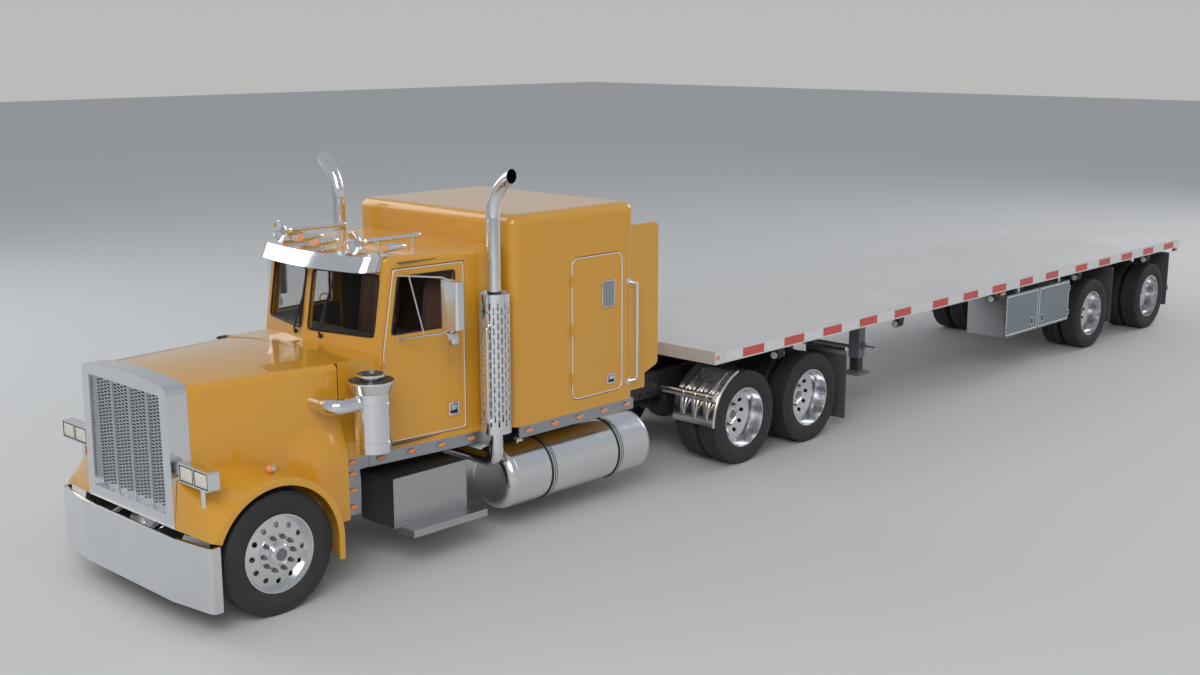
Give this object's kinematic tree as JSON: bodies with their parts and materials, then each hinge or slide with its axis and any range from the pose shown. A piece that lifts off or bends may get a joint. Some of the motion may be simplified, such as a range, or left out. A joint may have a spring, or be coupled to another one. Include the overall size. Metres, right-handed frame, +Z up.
{
  "type": "flatbed semi-trailer truck",
  "caption": "Bonneted road tractor with a sleeper cab, coupled to a flatbed semi-trailer that turns on its kingpin.",
  "frame": {"origin": "on the road, on the centre plane, halfway between the bumper's face and the deck's rear edge", "axes": "+Y towards the rear, +X towards the vehicle's left-hand side, +Z up"},
  "size_m": [2.884, 18.352, 3.5445],
  "materials": {
    "yellow_paint": "glossy",
    "chrome": "polished",
    "polished_aluminium": "polished",
    "deck_aluminium": "satin",
    "stainless": "brushed",
    "black_steel": "satin",
    "grey_steel": "satin",
    "tyre_rubber": "matte",
    "flap_rubber": "matte",
    "glass": "clear",
    "cabin_trim": "matte",
    "cast_iron": "matte"
  },
  "bodies": {
    "tractor": {"tractor_frame": "black_steel", "tractor_axles": "cast_iron", "engine": "cast_iron", "fifth_wheel": "cast_iron", "bumper": "chrome", "cab_shell": "yellow_paint", "windscreen": "glass", "cab_interior": "cabin_trim", "sleeper": "yellow_paint", "side_skirts": "stainless", "step_boxes": "polished_aluminium", "fuel_tanks": "polished_aluminium", "exhausts": "chrome", "air_cleaners": "chrome", "visor": "chrome", "horns": "chrome", "wheel_guards": "polished_aluminium"},
    "hood": {"hood": "yellow_paint", "front_fenders": "yellow_paint", "radiator_shell": "chrome", "grille": "stainless", "headlamps": "chrome"},
    "trailer": {"trailer_frame": "grey_steel", "trailer_deck": "deck_aluminium", "landing_gear": "grey_steel", "trailer_axles": "cast_iron", "toolbox": "polished_aluminium", "trailer_flaps": "flap_rubber"},
    "steering_wheel": {"steering_wheel": "cabin_trim"},
    "sleeper_door": {"sleeper_door": "yellow_paint"},
    "toolbox_door_front": {"toolbox_door_front": "polished_aluminium"},
    "toolbox_door_rear": {"toolbox_door_rear": "polished_aluminium"},
    "steer_knuckle_left": {"steer_knuckle_left": "cast_iron"},
    "steer_wheel_left": {"steer_tyre_left": "tyre_rubber", "steer_rim_left": "polished_aluminium"},
    "door_left": {"door_left": "yellow_paint", "door_glass_left": "glass", "mirror_left": "chrome"},
    "steer_knuckle_right": {"steer_knuckle_right": "cast_iron"},
    "steer_wheel_right": {"steer_tyre_right": "tyre_rubber", "steer_rim_right": "polished_aluminium"},
    "door_right": {"door_right": "yellow_paint", "door_glass_right": "glass", "mirror_right": "chrome"},
    "drive_front_wheels_left": {"drive_front_tyres_left": "tyre_rubber", "drive_front_rims_left": "polished_aluminium"},
    "drive_front_wheels_right": {"drive_front_tyres_right": "tyre_rubber", "drive_front_rims_right": "polished_aluminium"},
    "drive_rear_wheels_left": {"drive_rear_tyres_left": "tyre_rubber", "drive_rear_rims_left": "polished_aluminium"},
    "drive_rear_wheels_right": {"drive_rear_tyres_right": "tyre_rubber", "drive_rear_rims_right": "polished_aluminium"},
    "trailer_front_wheels_left": {"trailer_front_tyres_left": "tyre_rubber", "trailer_front_rims_left": "polished_aluminium"},
    "trailer_front_wheels_right": {"trailer_front_tyres_right": "tyre_rubber", "trailer_front_rims_right": "polished_aluminium"},
    "trailer_rear_wheels_left": {"trailer_rear_tyres_left": "tyre_rubber", "trailer_rear_rims_left": "polished_aluminium"},
    "trailer_rear_wheels_right": {"trailer_rear_tyres_right": "tyre_rubber", "trailer_rear_rims_right": "polished_aluminium"}
  },
  "joints": [
    {"name": "steer_left", "type": "hinge", "parent": "tractor", "child": "steer_knuckle_left", "pos_m": [0.955, -8.421, 0.5275], "axis": [0, 0, 1], "range_deg": [-36, 36]},
    {"name": "steer_wheel_left_spin", "type": "hinge", "parent": "steer_knuckle_left", "child": "steer_wheel_left", "pos_m": [1, -8.421, 0.5275], "axis": [1, 0, 0], "continuous": true},
    {"name": "door_left_hinge", "type": "hinge", "parent": "tractor", "child": "door_left", "pos_m": [0.88397, -7.101, 1.55], "axis": [0, 0, -1], "range_deg": [0, 65]},
    {"name": "steer_right", "type": "hinge", "parent": "tractor", "child": "steer_knuckle_right", "pos_m": [-0.955, -8.421, 0.5275], "axis": [0, 0, 1], "range_deg": [-36, 36]},
    {"name": "steer_wheel_right_spin", "type": "hinge", "parent": "steer_knuckle_right", "child": "steer_wheel_right", "pos_m": [-1, -8.421, 0.5275], "axis": [1, 0, 0], "continuous": true},
    {"name": "door_right_hinge", "type": "hinge", "parent": "tractor", "child": "door_right", "pos_m": [-0.88397, -7.101, 1.55], "axis": [0, 0, 1], "range_deg": [0, 65]},
    {"name": "drive_front_wheels_left_spin", "type": "hinge", "parent": "tractor", "child": "drive_front_wheels_left", "pos_m": [0.92, -2.337, 0.5275], "axis": [1, 0, 0], "continuous": true},
    {"name": "drive_front_wheels_right_spin", "type": "hinge", "parent": "tractor", "child": "drive_front_wheels_right", "pos_m": [-0.92, -2.337, 0.5275], "axis": [1, 0, 0], "continuous": true},
    {"name": "drive_rear_wheels_left_spin", "type": "hinge", "parent": "tractor", "child": "drive_rear_wheels_left", "pos_m": [0.92, -1.096, 0.5275], "axis": [1, 0, 0], "continuous": true},
    {"name": "drive_rear_wheels_right_spin", "type": "hinge", "parent": "tractor", "child": "drive_rear_wheels_right", "pos_m": [-0.92, -1.096, 0.5275], "axis": [1, 0, 0], "continuous": true},
    {"name": "trailer_front_wheels_left_spin", "type": "hinge", "parent": "trailer", "child": "trailer_front_wheels_left", "pos_m": [0.92, 6.177, 0.5275], "axis": [1, 0, 0], "continuous": true},
    {"name": "trailer_front_wheels_right_spin", "type": "hinge", "parent": "trailer", "child": "trailer_front_wheels_right", "pos_m": [-0.92, 6.177, 0.5275], "axis": [1, 0, 0], "continuous": true},
    {"name": "trailer_rear_wheels_left_spin", "type": "hinge", "parent": "trailer", "child": "trailer_rear_wheels_left", "pos_m": [0.92, 8.268, 0.5275], "axis": [1, 0, 0], "continuous": true},
    {"name": "trailer_rear_wheels_right_spin", "type": "hinge", "parent": "trailer", "child": "trailer_rear_wheels_right", "pos_m": [-0.92, 8.268, 0.5275], "axis": [1, 0, 0], "continuous": true},
    {"name": "steering_wheel_turn", "type": "hinge", "parent": "tractor", "child": "steering_wheel", "pos_m": [0.48, -6.621, 2.01], "axis": [0, 0.5736, 0.8192], "range_deg": [-576, 576]},
    {"name": "hood_tilt", "type": "hinge", "parent": "tractor", "child": "hood", "pos_m": [0, -9.121, 0.7], "axis": [1, 0, 0], "range_deg": [0, 70]},
    {"name": "sleeper_door_hinge", "type": "hinge", "parent": "tractor", "child": "sleeper_door", "pos_m": [1.162, -5.021, 1.9], "axis": [0, 0, -1], "range_deg": [0, 90]},
    {"name": "toolbox_door_front_hinge", "type": "hinge", "parent": "trailer", "child": "toolbox_door_front", "pos_m": [1.278, 3.425, 0.86], "axis": [0, 0, -1], "range_deg": [0, 110]},
    {"name": "toolbox_door_rear_hinge", "type": "hinge", "parent": "trailer", "child": "toolbox_door_rear", "pos_m": [1.278, 5.313, 0.86], "axis": [0, 0, 1], "range_deg": [0, 110]},
    {"name": "trailer_turn", "type": "hinge", "parent": "tractor", "child": "trailer", "pos_m": [0, -1.871, 1.19], "axis": [0, 0, 1], "range_deg": [-90, 90]}
  ],
  "couplings": [
    {"joint": "steer_right", "follows": "steer_left", "ratio": 1},
    {"joint": "steering_wheel_turn", "follows": "steer_left", "ratio": 16}
  ]
}
